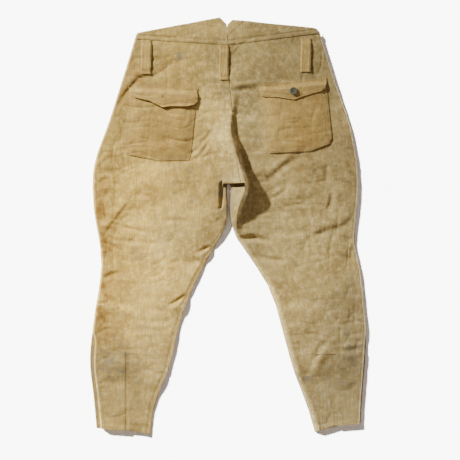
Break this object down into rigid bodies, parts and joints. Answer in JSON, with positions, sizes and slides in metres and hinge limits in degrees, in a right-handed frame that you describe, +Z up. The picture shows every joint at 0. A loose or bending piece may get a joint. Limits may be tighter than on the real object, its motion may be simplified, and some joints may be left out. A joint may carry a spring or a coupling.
{
  "type": "firefighter's canvas breeches",
  "caption": "Cotton duck breeches for a fire crew, laid flat back upward: wide thigh, narrow calf, shaped back yoke, flapped hip pockets, belt loops, fly and calf vents.",
  "frame": {"origin": "on the floor under the middle of the garment's outline", "axes": "+Z up through the back of the garment, +Y from the hems to the waist, -X the wearer's left"},
  "size_m": [0.6758, 1.0161, 0.0529],
  "materials": {
    "canvas": "washed and stained cotton duck",
    "canvas_dark": "less faded cotton duck",
    "horn": "worn dark button",
    "brass": "dull",
    "thread": "waxed cotton thread"
  },
  "bodies": {
    "trousers": {"back_panel_left": "canvas", "back_panel_right": "canvas", "front_panel_left": "canvas", "front_panel_right": "canvas", "back_yoke_left": "canvas", "back_yoke_right": "canvas", "waistband_front_left": "canvas", "waistband_front_right": "canvas", "crotch_gusset": "canvas_dark", "back_pocket_left": "canvas_dark", "back_pocket_right": "canvas_dark", "pocket_button_left": "horn", "pocket_button_right": "horn", "button_thread_left": "thread", "button_thread_right": "thread", "belt_loop_back_left": "canvas_dark", "belt_loop_back_center": "canvas_dark", "belt_loop_back_right": "canvas_dark", "belt_loop_front_left": "canvas_dark", "belt_loop_front_right": "canvas_dark", "fly_shield": "canvas_dark", "fly_button_1": "brass", "fly_button_2": "brass", "fly_button_3": "brass", "waist_button": "brass", "vent_underlap_left": "canvas_dark", "vent_underlap_right": "canvas_dark"},
    "left_pocket_flap": {"pocket_flap_left": "canvas_dark"},
    "right_pocket_flap": {"pocket_flap_right": "canvas_dark"},
    "left_vent_flap": {"vent_flap_left": "canvas"},
    "right_vent_flap": {"vent_flap_right": "canvas"},
    "fly": {"fly_flap": "canvas"}
  },
  "joints": [
    {"name": "left_flap_hinge", "type": "hinge", "parent": "trousers", "child": "left_pocket_flap", "pos_m": [-0.15797, 0.33397, 0.01682], "axis": [-0.9979, 0.0645, 0], "range_deg": [0, 135]},
    {"name": "right_flap_hinge", "type": "hinge", "parent": "trousers", "child": "right_pocket_flap", "pos_m": [0.15627, 0.34691, 0.01746], "axis": [-0.9942, -0.108, 0], "range_deg": [0, 135]},
    {"name": "left_vent_hinge", "type": "hinge", "parent": "trousers", "child": "left_vent_flap", "pos_m": [-0.29306, -0.3935, 0.0132], "axis": [-0.0681, 0.9977, 0], "range_deg": [0, 120]},
    {"name": "right_vent_hinge", "type": "hinge", "parent": "trousers", "child": "right_vent_flap", "pos_m": [0.30385, -0.3875, 0.0132], "axis": [-0.0702, -0.9975, 0], "range_deg": [0, 120]},
    {"name": "fly_hinge", "type": "hinge", "parent": "trousers", "child": "fly", "pos_m": [-0.022, 0.357, 0.0034], "axis": [0, 1, 0], "range_deg": [0, 110]}
  ]
}
